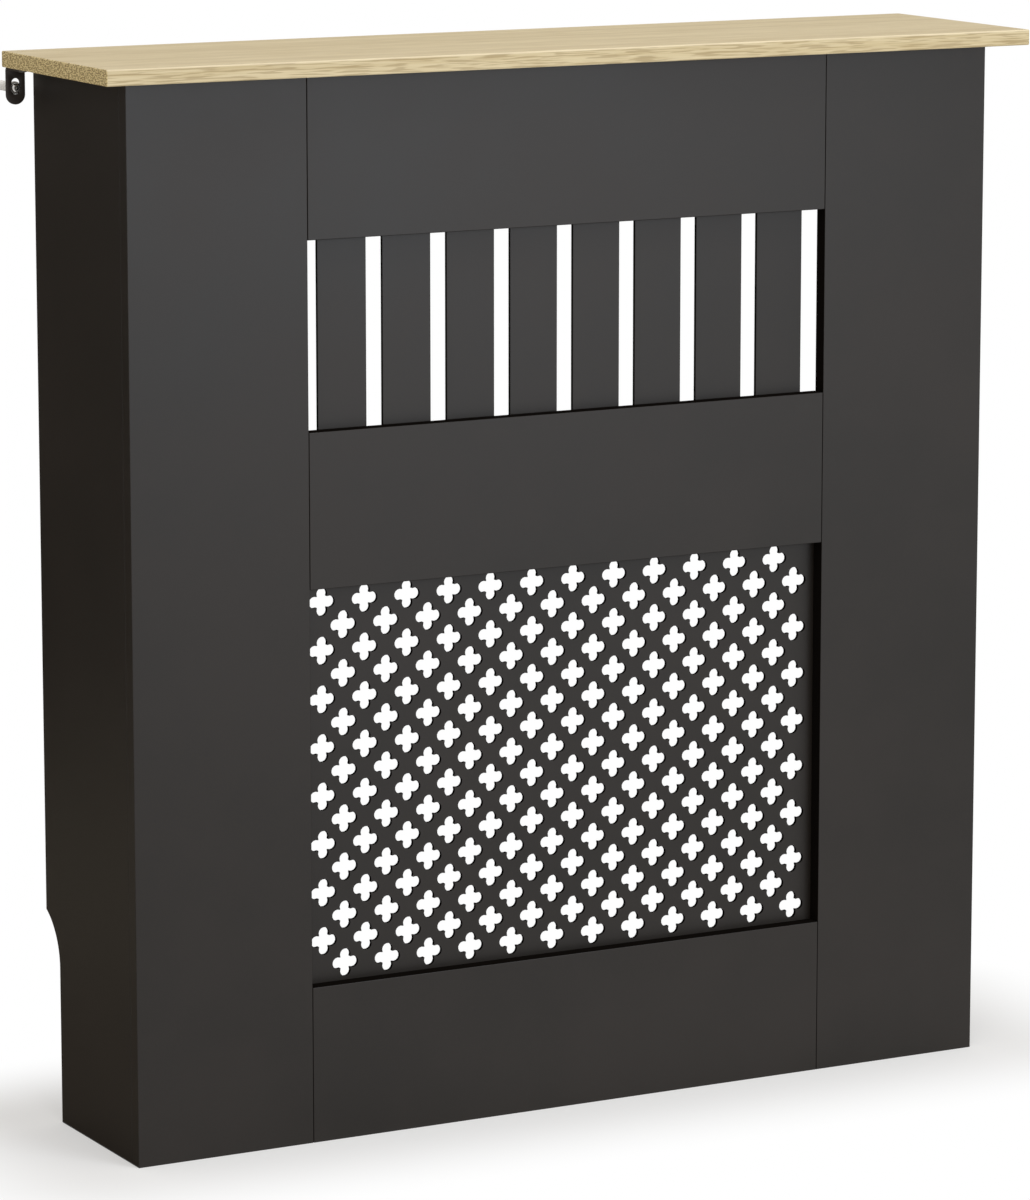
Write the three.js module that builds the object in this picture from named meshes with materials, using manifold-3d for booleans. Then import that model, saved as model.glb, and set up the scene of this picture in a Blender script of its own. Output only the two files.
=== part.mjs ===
// A radiator cover cabinet: a box of coated board, open at the back and the floor, that stands in front of a radiator.
// Its front has a slatted vent above a sheet pierced with quatrefoils, and an oak-faced board lies on top as a shelf.
//
// Millimetres, with X along the wall, Y towards the wall and Z up. The pieces are laid out with X = 0 in the middle of
// the cabinet, Y = 0 on the wall and Z = 0 on the floor. The last lines move the whole cabinet so that the origin is
// at floor level under the middle of its overall box.
import * as THREE from "three";
import { mergeVertices } from "three/addons/utils/BufferGeometryUtils.js";
import Module from "manifold-3d";

// ---------------------------------------------------------------------------------------------------------------
// Driving dimensions
// ---------------------------------------------------------------------------------------------------------------

// Overall size, and how far the top board stands out past the cabinet under it.
const TOP_WIDTH = 780;
const TOP_DEPTH = 190;
const HEIGHT = 815;
const TOP_THICKNESS = 12;
const TOP_ARRIS = 1;
const SIDE_OVERHANG = 25;
const FRONT_OVERHANG = 24;

// The coated boards of the cabinet, and the two openings that its rails leave between the stiles.
const PANEL_THICKNESS = 12;
const PANEL_ARRIS = 0.3;
const BUTT_GAP = 0.3; // between a stile's edge and the end of each rail
const STILE_WIDTH = 144;
const BOTTOM_RAIL_HEIGHT = 120;
const MIDDLE_RAIL_HEIGHT = 117.5;
const TOP_RAIL_HEIGHT = 121;
const VENT_OPENING = 142; // the grille's opening has the rest of the height

// The cut-out at the foot of each side panel, which lets the cabinet stand tight to the wall over a skirting board.
const SKIRTING_DEPTH = 24.5;
const SKIRTING_STRAIGHT = 121; // height at which the upright edge turns into the hollow curve
const SKIRTING_RADIUS = 46.5;

// The vent's upright slats, fixed to the backs of the rails.
const SLAT_COUNT = 8;
const SLAT_WIDTH = 40;
const SLAT_THICKNESS = 3;
const SLAT_LAP = 15; // how far a slat runs behind the rail at each end

// The pierced sheet: columns of quatrefoils, each column half a pitch above or below the next, as many as fit.
const SHEET_THICKNESS = 3;
const SHEET_LAP = 15; // how far the sheet runs behind the frame all round its opening
const FOIL_COLUMN_PITCH = 17.9;
const FOIL_PITCH = 37;
const FOIL_SIZE = 22; // across two opposite lobes
const FOIL_MARGIN = 1; // least distance from a quatrefoil to the edge of the opening
const LOBE_WIDTH = 8.3; // where a lobe meets its neighbours
const LOBE_TIP_WIDTH = 6.1; // a flat tip of this width gives a lobe the area of a round-ended one

// The battens that tie the rails to the stiles from behind.
const BATTEN_WIDTH = 50;
const BATTEN_THICKNESS = 12;
const BATTEN_GRIP = 60; // how far a batten runs on to each stile
const BATTEN_SCREW_INSET = 25; // from the batten's end to its outer screw
const RAIL_SCREW_INSET = 80; // from the rail's end to the screw that holds it

// The small steel angles inside the cabinet.
const ANGLE = { width: 16, legs: [25, 25], thickness: 2, bend: 1.5, endRadius: 3, holeAt: [15, 15] };
const ANGLE_FROM_FLOOR = 90;
const ANGLE_FROM_TOP = 90;
const TOP_ANGLE_FROM_WALL = 70;

// The slotted steel angle under each end of the top board, which holds the cabinet to the wall.
const WALL_ANGLE = { width: 15, legs: [25, 28], thickness: 2, bend: 1, endRadius: 7.5, holeAt: [15, 14.5] };
const WALL_ANGLE_SLOT = { width: 6.6, length: 12 };
const WALL_ANGLE_INSET = 10.25; // from the end of the top board to the middle of the angle
const WALL_SCREW_DROP = 1.2; // how far below the middle of its slot the wall screw sits

// Fasteners. A screw's length is counted from under its head.
const SHORT_SCREW = { headRadius: 3.5, headHeight: 2, shankRadius: 1.75, length: 10.5, point: 2.5 };
const LONG_SCREW = { headRadius: 3.5, headHeight: 2, shankRadius: 1.75, length: 20.5, point: 2.5 };
const WALL_SCREW = { headRadius: 3.75, headHeight: 2.5, shankRadius: 2.25, length: 30, point: 4 };
const WALL_PLUG = { collarRadius: 4.75, collarThickness: 1.5, radius: 3.75, length: 30 };
const SCREW_CLEARANCE = 0.3; // round a shank, and past its point, in everything that it passes through or enters

// Facets in a full turn of a screw or its hole, and in a full turn of a plug.
const SCREW_FACETS = 8;
const PLUG_FACETS = 10;

// Divisions of an arc in a bend, a rounded corner or a slot's end, and in the skirting cut-out's curve.
// An arc is drawn with twice as many facets as it has divisions.
const CORNER_DIVISIONS = 2;
const SKIRTING_DIVISIONS = 4;

// Sizes are rounded to this step, which a 32-bit number holds exactly, so that boards that touch are truly flush.
const STEP = 1 / 128;

// ---------------------------------------------------------------------------------------------------------------
// Places that follow from them
// ---------------------------------------------------------------------------------------------------------------

const snap = (value) => Math.round(value / STEP) * STEP;

const cabinetHeight = snap(HEIGHT - TOP_THICKNESS);
const outerX = snap(TOP_WIDTH / 2 - SIDE_OVERHANG);
const innerX = snap(outerX - PANEL_THICKNESS);
const openingX = snap(outerX - STILE_WIDTH);
const frontY = snap(FRONT_OVERHANG - TOP_DEPTH);
const frameBackY = snap(frontY + PANEL_THICKNESS);
const battenBackY = snap(frameBackY + BATTEN_THICKNESS);
const ventTop = snap(cabinetHeight - TOP_RAIL_HEIGHT);
const ventBottom = snap(ventTop - VENT_OPENING);
const grilleTop = snap(ventBottom - MIDDLE_RAIL_HEIGHT);
const grilleBottom = snap(BOTTOM_RAIL_HEIGHT);

// Left is the side of negative X, for someone who faces the cabinet.
const SIDES = [
  { name: "left", sign: -1 },
  { name: "right", sign: 1 },
];

// ---------------------------------------------------------------------------------------------------------------
// Materials
// ---------------------------------------------------------------------------------------------------------------

const material = (color, roughness, metalness) =>
  new THREE.MeshStandardMaterial({ color, roughness, metalness, flatShading: true });

const coatedBoard = () => material(0x3c3a39, 0.55, 0);
const oakFoil = () => material(0xccbe9c, 0.6, 0);
const coatedSteel = () => material(0x232224, 0.45, 0.6);
const platedSteel = () => material(0xb9bcc0, 0.35, 1);
const blackScrew = () => material(0x19181a, 0.4, 0.8);
const paleNylon = () => material(0xe6e5e0, 0.5, 0);

// ---------------------------------------------------------------------------------------------------------------
// Shapes
// ---------------------------------------------------------------------------------------------------------------

const wasm = await Module();
wasm.setup();

const X = new THREE.Vector3(1, 0, 0);
const Y = new THREE.Vector3(0, 1, 0);
const Z = new THREE.Vector3(0, 0, 1);
const MINUS_X = X.clone().negate();
const MINUS_Y = Y.clone().negate();
const MINUS_Z = Z.clone().negate();

/** A closed geometry as a solid that can be joined and cut. */
function solidOf(geometry) {
  const bare = geometry.clone();
  bare.deleteAttribute("normal");
  bare.deleteAttribute("uv");
  const merged = mergeVertices(bare);
  return new wasm.Manifold(
    new wasm.Mesh({
      numProp: 3,
      vertProperties: merged.attributes.position.array,
      triVerts: new Uint32Array(merged.index.array),
    }),
  );
}

/** A solid as a geometry. */
function geometryOf(solid) {
  const { vertProperties, triVerts } = solid.getMesh();
  const geometry = new THREE.BufferGeometry();
  geometry.setAttribute("position", new THREE.BufferAttribute(vertProperties, 3));
  geometry.setIndex(new THREE.BufferAttribute(triVerts, 1));
  return geometry;
}

/** Turns a geometry so that its own X, Y and Z run along three given directions. */
function turned(geometry, alongX, alongY, alongZ) {
  return geometry.applyMatrix4(new THREE.Matrix4().makeBasis(alongX, alongY, alongZ));
}

/** An outline given a thickness along its own Z, with its two rims taken off by an arris. */
function slab(outline, thickness, arris = 0, arrisSteps = 1, arcDivisions = 1) {
  const geometry = new THREE.ExtrudeGeometry(outline, {
    depth: thickness - 2 * arris,
    bevelEnabled: arris > 0,
    bevelThickness: arris,
    bevelSize: arris,
    bevelOffset: -arris,
    bevelSegments: arrisSteps,
    curveSegments: arcDivisions,
  });
  return geometry.translate(0, 0, arris);
}

/** The outline of a rectangle between two corners. */
function rectangle(left, bottom, right, top) {
  return new THREE.Shape([
    new THREE.Vector2(left, bottom),
    new THREE.Vector2(right, bottom),
    new THREE.Vector2(right, top),
    new THREE.Vector2(left, top),
  ]);
}

/** A board that stands upright across the front, as a mesh whose own origin is on its back face. */
function frontBoard(name, left, right, bottom, top, backY, thickness, arris) {
  const width = snap(right - left);
  const height = snap(top - bottom);
  const geometry = turned(slab(rectangle(0, 0, width, height), thickness, arris), X, Z, MINUS_Y);
  const mesh = new THREE.Mesh(geometry, coatedBoard());
  mesh.name = name;
  mesh.position.set(snap(left), backY, snap(bottom));
  return mesh;
}

/** A shape turned about its own Z, from pairs of radius and height that start and end on that axis. */
function spun(pairs, facets) {
  const profile = pairs.map(([radius, height]) => new THREE.Vector2(radius, height));
  return new THREE.LatheGeometry(profile, facets).rotateX(Math.PI / 2);
}

/** A pan-head screw. Its own Z points out of the head, and its origin is under the head. */
function screwGeometry({ headRadius, headHeight, shankRadius, length, point }) {
  const crown = 0.7 * headRadius;
  return spun(
    [
      [0, -length],
      [shankRadius, point - length],
      [shankRadius, 0],
      [headRadius, 0],
      [crown, headHeight],
      [0, headHeight],
    ],
    SCREW_FACETS,
  );
}

/** The room that a screw's shank takes, as a plug that reaches from above its seat to just past its point. */
function drillBit({ headHeight, shankRadius, length }) {
  const radius = shankRadius + SCREW_CLEARANCE;
  const depth = length + SCREW_CLEARANCE;
  return spun(
    [
      [0, -depth],
      [radius, -depth],
      [radius, headHeight],
      [0, headHeight],
    ],
    SCREW_FACETS,
  );
}

/** One leg of an angle seen square on: across it is X, along it is Y, and it has a round hole or a slot. */
function legOutline(width, length, endRadius, holeAt, holeWidth, holeLength) {
  const half = width / 2;
  const outline = new THREE.Shape();
  outline.moveTo(-half, -width);
  outline.lineTo(half, -width);
  outline.absarc(half - endRadius, length - endRadius, endRadius, 0, Math.PI / 2);
  outline.absarc(endRadius - half, length - endRadius, endRadius, Math.PI / 2, Math.PI);
  const radius = holeWidth / 2;
  const straight = (holeLength - holeWidth) / 2;
  const hole = new THREE.Path();
  hole.absarc(0, holeAt + straight, radius, 0, Math.PI);
  hole.absarc(0, holeAt - straight, radius, Math.PI, 2 * Math.PI);
  outline.holes.push(hole);
  return outline;
}

/**
 * A bent steel angle in its own frame: the corner is at the origin, the first leg runs along Y with its seat on the
 * plane Z = 0, the second runs along Z with its seat on the plane Y = 0, and its width is centred on X.
 */
function angleGeometry({ width, legs, thickness, bend, endRadius, holeAt }, holes) {
  const [first, second] = legs;
  const turn = thickness + bend;
  const section = new THREE.Shape();
  section.moveTo(turn, 0);
  section.lineTo(first, 0);
  section.lineTo(first, thickness);
  section.absarc(turn, turn, bend, -Math.PI / 2, -Math.PI, true);
  section.lineTo(thickness, second);
  section.lineTo(0, second);
  section.absarc(turn, turn, turn, Math.PI, 1.5 * Math.PI);
  const bent = turned(slab(section, width, 0, 1, CORNER_DIVISIONS), Y, Z, X).translate(-width / 2, 0, 0);

  const reach = first + second;
  const [firstOutline, secondOutline] = legs.map((leg, i) =>
    legOutline(width, leg, endRadius, holeAt[i], holes[i].width, holes[i].length),
  );
  const firstLeg = slab(firstOutline, 2 * reach, 0, 1, CORNER_DIVISIONS).translate(0, 0, -reach);
  const secondLeg = turned(slab(secondOutline, 2 * reach, 0, 1, CORNER_DIVISIONS), X, Z, MINUS_Y).translate(0, reach, 0);
  return geometryOf(solidOf(bent).intersect(solidOf(firstLeg)).intersect(solidOf(secondLeg)));
}

/** A round hole for a screw, in the form that angleGeometry takes. */
function screwHole({ shankRadius }) {
  const width = 2 * (shankRadius + SCREW_CLEARANCE);
  return { width, length: width };
}

// ---------------------------------------------------------------------------------------------------------------
// Cabinet boards
// ---------------------------------------------------------------------------------------------------------------

/** The oak-faced board on top, its back edge on the wall. */
function topBoard() {
  const outline = rectangle(0, 0, TOP_WIDTH, TOP_DEPTH);
  const mesh = new THREE.Mesh(slab(outline, TOP_THICKNESS, TOP_ARRIS, 2), oakFoil());
  mesh.name = "top_board";
  mesh.position.set(-TOP_WIDTH / 2, -TOP_DEPTH, cabinetHeight);
  return mesh;
}

/** A side panel behind its stile, with the cut-out for the skirting board at its foot. */
function sidePanel({ name, sign }) {
  const depth = -frameBackY;
  const curveAngle = Math.acos(1 - SKIRTING_DEPTH / SKIRTING_RADIUS);
  const outline = new THREE.Shape();
  outline.moveTo(0, 0);
  outline.lineTo(depth - SKIRTING_DEPTH, 0);
  outline.absarc(
    depth - SKIRTING_DEPTH + SKIRTING_RADIUS,
    SKIRTING_STRAIGHT,
    SKIRTING_RADIUS,
    Math.PI,
    Math.PI - curveAngle,
    true,
  );
  outline.lineTo(depth, cabinetHeight);
  outline.lineTo(0, cabinetHeight);
  const geometry = turned(slab(outline, PANEL_THICKNESS, PANEL_ARRIS, 1, SKIRTING_DIVISIONS), Y, Z, X);
  const mesh = new THREE.Mesh(geometry, coatedBoard());
  mesh.name = `side_panel_${name}`;
  mesh.position.set(sign < 0 ? -outerX : innerX, frameBackY, 0);
  return mesh;
}

/** A tall front board that covers the front edge of its side panel. */
function stile({ name, sign }) {
  const [left, right] = sign < 0 ? [-outerX, -openingX] : [openingX, outerX];
  return frontBoard(
    `front_stile_${name}`, left, right, 0, cabinetHeight, frameBackY, PANEL_THICKNESS, PANEL_ARRIS,
  );
}

/** A board that closes the space between the stiles. */
function rail(name, bottom, top) {
  const half = openingX - BUTT_GAP;
  return frontBoard(name, -half, half, bottom, top, frameBackY, PANEL_THICKNESS, PANEL_ARRIS);
}

/** The vent's slats, with equal gaps between them and beside them. */
function ventSlats() {
  const gap = (2 * openingX - SLAT_COUNT * SLAT_WIDTH) / (SLAT_COUNT + 1);
  return Array.from({ length: SLAT_COUNT }, (_, i) => {
    const left = -openingX + gap + i * (SLAT_WIDTH + gap);
    const name = `vent_slat_${i + 1}`;
    const backY = snap(frameBackY + SLAT_THICKNESS);
    return frontBoard(
      name, left, left + SLAT_WIDTH, ventBottom - SLAT_LAP, ventTop + SLAT_LAP, backY, SLAT_THICKNESS, 0,
    );
  });
}

/** One quatrefoil hole. Each of its four lobes is drawn as a tapered arm with a flat tip. */
function quatrefoil(centre) {
  const valley = LOBE_WIDTH / 2;
  const tip = LOBE_TIP_WIDTH / 2;
  const reach = FOIL_SIZE / 2;
  const lobe = [
    new THREE.Vector2(valley, -valley),
    new THREE.Vector2(reach, -tip),
    new THREE.Vector2(reach, tip),
  ];
  const origin = new THREE.Vector2();
  const quarters = [0, 1, 2, 3].map((quarter) => (quarter * Math.PI) / 2);
  return new THREE.Path(
    quarters.flatMap((angle) => lobe.map((point) => point.clone().rotateAround(origin, angle).add(centre))),
  );
}

/** How many quatrefoils fit in a length at a pitch, where a stagger takes some of that length. */
function foilCount(length, pitch, stagger) {
  return 1 + Math.floor((length - 2 * FOIL_MARGIN - FOIL_SIZE - stagger) / pitch);
}

/** The pierced sheet behind the lower opening, its lattice centred in that opening. */
function grilleSheet() {
  const halfWidth = snap(openingX + SHEET_LAP);
  const bottom = snap(grilleBottom - SHEET_LAP);
  const top = snap(grilleTop + SHEET_LAP);
  const outline = rectangle(-halfWidth, bottom, halfWidth, top);
  const middle = (grilleBottom + grilleTop) / 2;
  const stagger = FOIL_PITCH / 2;
  const columns = foilCount(2 * openingX, FOIL_COLUMN_PITCH, 0);
  const rows = foilCount(grilleTop - grilleBottom, FOIL_PITCH, stagger);
  for (let column = 0; column < columns; column++) {
    const x = (column - (columns - 1) / 2) * FOIL_COLUMN_PITCH;
    const columnMiddle = middle + (column % 2 ? -stagger : stagger) / 2;
    for (let row = 0; row < rows; row++) {
      const z = columnMiddle + (row - (rows - 1) / 2) * FOIL_PITCH;
      outline.holes.push(quatrefoil(new THREE.Vector2(x, z)));
    }
  }
  const mesh = new THREE.Mesh(turned(slab(outline, SHEET_THICKNESS), X, Z, MINUS_Y), coatedBoard());
  mesh.name = "grille_sheet";
  mesh.position.set(0, snap(frameBackY + SHEET_THICKNESS), 0);
  return mesh;
}

// ---------------------------------------------------------------------------------------------------------------
// Fixings
// ---------------------------------------------------------------------------------------------------------------

/** Cuts the room for a placed screw's shank out of a placed piece. */
function drill(piece, screw, spec) {
  piece.updateMatrix();
  screw.updateMatrix();
  const toPiece = piece.matrix.clone().invert().multiply(screw.matrix);
  const bit = solidOf(drillBit(spec).applyMatrix4(toPiece));
  piece.geometry = geometryOf(solidOf(piece.geometry).subtract(bit));
}

/** A screw with its head seated at a point, and its pilot holes in the pieces that it goes into. */
function driveScrew(name, spec, seat, outward, finish, pieces) {
  const mesh = new THREE.Mesh(screwGeometry(spec), finish);
  mesh.name = name;
  mesh.position.copy(seat);
  mesh.quaternion.setFromUnitVectors(Z, outward);
  pieces.forEach((piece) => drill(piece, mesh, spec));
  return mesh;
}

/** A batten across the backs of a rail and both stiles, midway between two heights, with its four screws. */
function batten(name, above, below, middleRail, stiles) {
  const half = openingX + BATTEN_GRIP;
  const middle = (above + below) / 2;
  const board = frontBoard(
    `${name}_batten`, -half, half, middle - BATTEN_WIDTH / 2, middle + BATTEN_WIDTH / 2, battenBackY,
    BATTEN_THICKNESS, 0,
  );
  const outer = half - BATTEN_SCREW_INSET;
  const inner = openingX - RAIL_SCREW_INSET;
  const places = [
    [-outer, stiles[0]],
    [-inner, middleRail],
    [inner, middleRail],
    [outer, stiles[1]],
  ];
  const screws = places.map(([x, behind], i) => {
    const seat = new THREE.Vector3(x, battenBackY, middle);
    return driveScrew(`${name}_batten_screw_${i + 1}`, LONG_SCREW, seat, Y, platedSteel(), [board, behind]);
  });
  return [board, ...screws];
}

/**
 * A steel angle in a corner, with a screw through each leg.
 * Its legs run along two directions from the corner, and each holds the board that the other leg points away from.
 */
function cornerAngle(name, corner, firstDirection, secondDirection, boards) {
  const hole = screwHole(SHORT_SCREW);
  const mesh = new THREE.Mesh(angleGeometry(ANGLE, [hole, hole]), platedSteel());
  mesh.name = `${name}_angle`;
  mesh.position.copy(corner);
  const across = new THREE.Vector3().crossVectors(firstDirection, secondDirection);
  mesh.quaternion.setFromRotationMatrix(new THREE.Matrix4().makeBasis(across, firstDirection, secondDirection));
  const screws = [
    [firstDirection, secondDirection],
    [secondDirection, firstDirection],
  ].map(([along, outward], i) => {
    const seat = corner
      .clone()
      .addScaledVector(along, ANGLE.holeAt[i])
      .addScaledVector(outward, ANGLE.thickness);
    return driveScrew(`${name}_angle_screw_${i + 1}`, SHORT_SCREW, seat, outward, platedSteel(), [boards[i]]);
  });
  return [mesh, ...screws];
}

/** The angles inside one end of the cabinet: two hold its stile to its side panel, and one its side panel to the top. */
function endAngles({ name, sign }, side, front, top) {
  const inward = sign < 0 ? X : MINUS_X;
  const cornerX = sign * innerX;
  const angles = [
    [`${name}_lower`, new THREE.Vector3(cornerX, frameBackY, ANGLE_FROM_FLOOR), Y, front],
    [`${name}_upper`, new THREE.Vector3(cornerX, frameBackY, cabinetHeight - ANGLE_FROM_TOP), Y, front],
    [`${name}_top`, new THREE.Vector3(cornerX, -TOP_ANGLE_FROM_WALL, cabinetHeight), MINUS_Z, top],
  ];
  return angles.flatMap(([label, corner, away, board]) =>
    cornerAngle(label, corner, inward, away, [board, side]),
  );
}

/** The plug in the wall behind a wall screw. Its own Z points out of the wall. */
function plugGeometry({ collarRadius, collarThickness, radius, length }) {
  const bore = WALL_SCREW.shankRadius + SCREW_CLEARANCE;
  const section = [
    [bore, -length],
    [radius, -length],
    [radius, -collarThickness],
    [collarRadius, -collarThickness],
    [collarRadius, 0],
    [bore, 0],
    [bore, -length],
  ];
  return spun(section, PLUG_FACETS);
}

/** The slotted angle that holds one end of the top board to the wall, its two screws and its wall plug. */
function wallFixing({ name, sign }, top) {
  const x = snap(sign * (TOP_WIDTH / 2 - WALL_ANGLE_INSET));
  const angle = new THREE.Mesh(angleGeometry(WALL_ANGLE, [screwHole(SHORT_SCREW), WALL_ANGLE_SLOT]), coatedSteel());
  angle.name = `wall_angle_${name}`;
  angle.position.set(x, 0, cabinetHeight);
  angle.quaternion.setFromRotationMatrix(new THREE.Matrix4().makeBasis(X, MINUS_Y, MINUS_Z));

  const [boardHole, slotMiddle] = WALL_ANGLE.holeAt;
  const boardSeat = new THREE.Vector3(x, -boardHole, cabinetHeight - WALL_ANGLE.thickness);
  const boardScrew = driveScrew(
    `board_screw_${name}`, SHORT_SCREW, boardSeat, MINUS_Z, blackScrew(), [top],
  );

  const screwHeight = cabinetHeight - slotMiddle - WALL_SCREW_DROP;
  const wallSeat = new THREE.Vector3(x, -WALL_ANGLE.thickness, screwHeight);
  const wallScrew = driveScrew(`wall_screw_${name}`, WALL_SCREW, wallSeat, MINUS_Y, blackScrew(), []);

  const plug = new THREE.Mesh(plugGeometry(WALL_PLUG), paleNylon());
  plug.name = `wall_plug_${name}`;
  plug.position.set(x, 0, screwHeight);
  plug.quaternion.setFromUnitVectors(Z, MINUS_Y);
  return [angle, boardScrew, wallScrew, plug];
}

// ---------------------------------------------------------------------------------------------------------------
// Assembly
// ---------------------------------------------------------------------------------------------------------------

/** A group of pieces. */
function groupOf(...pieces) {
  return new THREE.Group().add(...pieces);
}

const top = topBoard();
const sides = SIDES.map(sidePanel);
const stiles = SIDES.map(stile);
const bottomRail = rail("bottom_rail", 0, grilleBottom);
const middleRail = rail("middle_rail", grilleTop, ventBottom);
const topRail = rail("top_rail", ventTop, cabinetHeight);

const battens = groupOf(
  ...batten("lower", grilleBottom - SHEET_LAP, 0, bottomRail, stiles),
  ...batten("middle", ventBottom - SLAT_LAP, grilleTop + SHEET_LAP, middleRail, stiles),
  ...batten("upper", cabinetHeight, ventTop + SLAT_LAP, topRail, stiles),
);
const angles = groupOf(...SIDES.flatMap((side, i) => endAngles(side, sides[i], stiles[i], top)));
const wallFixings = groupOf(...SIDES.flatMap((side) => wallFixing(side, top)));
const front = groupOf(...stiles, bottomRail, middleRail, topRail, ...ventSlats(), grilleSheet());

const cabinet = groupOf(top, ...sides, front, battens, angles, wallFixings);
cabinet.position.y = (TOP_DEPTH - WALL_PLUG.length) / 2;

const group = groupOf(cabinet);
export default group;
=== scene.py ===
"""A radiator cover cabinet of satin black board under an oak-faced shelf, dressed for its photograph.

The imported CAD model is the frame. Each board, slat, screw, angle and plug is modelled again on its CAD node, in
metres, with the arrises, recesses and finish of the real one. X runs along the wall, Y towards it and Z up.
"""

from __future__ import annotations

import logging
import math
from abc import ABC, abstractmethod
from collections.abc import Callable, Iterable, Mapping, Sequence
from dataclasses import dataclass
from enum import Enum
from functools import cached_property

import bmesh
import bpy
from bmesh.types import BMEdge, BMesh, BMFace, BMVert
from bpy.types import Material, Node, NodeSocket, NodeTree, Object
from mathutils import Matrix, Vector

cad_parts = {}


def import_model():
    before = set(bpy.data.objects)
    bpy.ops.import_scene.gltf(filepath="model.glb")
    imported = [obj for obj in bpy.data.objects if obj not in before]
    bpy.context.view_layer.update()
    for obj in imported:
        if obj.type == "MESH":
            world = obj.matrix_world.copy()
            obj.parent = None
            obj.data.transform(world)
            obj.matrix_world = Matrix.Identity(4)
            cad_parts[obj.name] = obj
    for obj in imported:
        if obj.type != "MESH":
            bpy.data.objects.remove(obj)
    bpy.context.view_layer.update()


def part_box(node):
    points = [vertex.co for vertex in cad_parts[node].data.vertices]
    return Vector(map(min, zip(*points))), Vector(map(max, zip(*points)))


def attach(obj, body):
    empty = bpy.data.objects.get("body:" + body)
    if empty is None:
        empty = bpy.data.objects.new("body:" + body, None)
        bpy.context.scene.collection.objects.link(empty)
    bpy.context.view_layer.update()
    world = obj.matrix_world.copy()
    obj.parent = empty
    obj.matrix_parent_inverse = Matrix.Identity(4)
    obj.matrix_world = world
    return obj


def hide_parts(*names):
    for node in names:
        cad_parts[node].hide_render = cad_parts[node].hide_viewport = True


LOG = logging.getLogger("radiator_cover")
MM = 0.001
WELD = 1e-6

# Edges that turn by more degrees than SHARP are rounded. On a round piece, ROUND is the most that is shaded as smooth.
SHARP = 60.0
ROUND = 35.0

X, Y, Z = (Vector(axis) for axis in ((1, 0, 0), (0, 1, 0), (0, 0, 1)))
QUARTER_TURNS = tuple(Matrix.Rotation(math.radians(90 * quarter), 2) for quarter in range(4))

Colour = tuple[float, float, float, float]
Pair = tuple[float, float]
WHITE: Colour = (1.0, 1.0, 1.0, 1.0)

# A noise keeps near its middle, and turns one colour into another between two levels on either side of it.
NOISE_MIDDLE = 0.5
TWO_TONE = (0.35, 0.65)


def srgb(*levels: int) -> Colour:
    """Turns a colour as seen on a screen into the one that a shader takes.

    Args:
        *levels: Its red, green and blue, from 0 to 255.

    Returns:
        The linear colour, with an alpha of 1.
    """
    parts = [level / 255 for level in levels]
    linear = [p / 12.92 if p <= 0.04045 else ((p + 0.055) / 1.055) ** 2.4 for p in parts]
    return (*linear, 1.0)


class Slot(Enum):
    """The record's material slots."""

    BLACK_BOARD = "black_board"
    BLACK_HARDBOARD = "black_hardboard"
    OAK_BOARD = "oak_board"
    PLATED_STEEL = "plated_steel"
    PLATED_SCREW = "plated_screw"
    BLACK_STEEL = "black_steel"
    BLACK_SCREW = "black_screw"
    PALE_NYLON = "pale_nylon"


class Side(Enum):
    """An end of the cabinet, for someone who faces it, with the sign of its X."""

    LEFT = -1
    RIGHT = 1

    @property
    def label(self) -> str:
        """The word that the CAD nodes use for this side."""
        return self.name.lower()

    @property
    def inward(self) -> Vector:
        """The direction from this end to the middle of the cabinet."""
        return X * -self.value


# ---- Shader nodes ----


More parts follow.
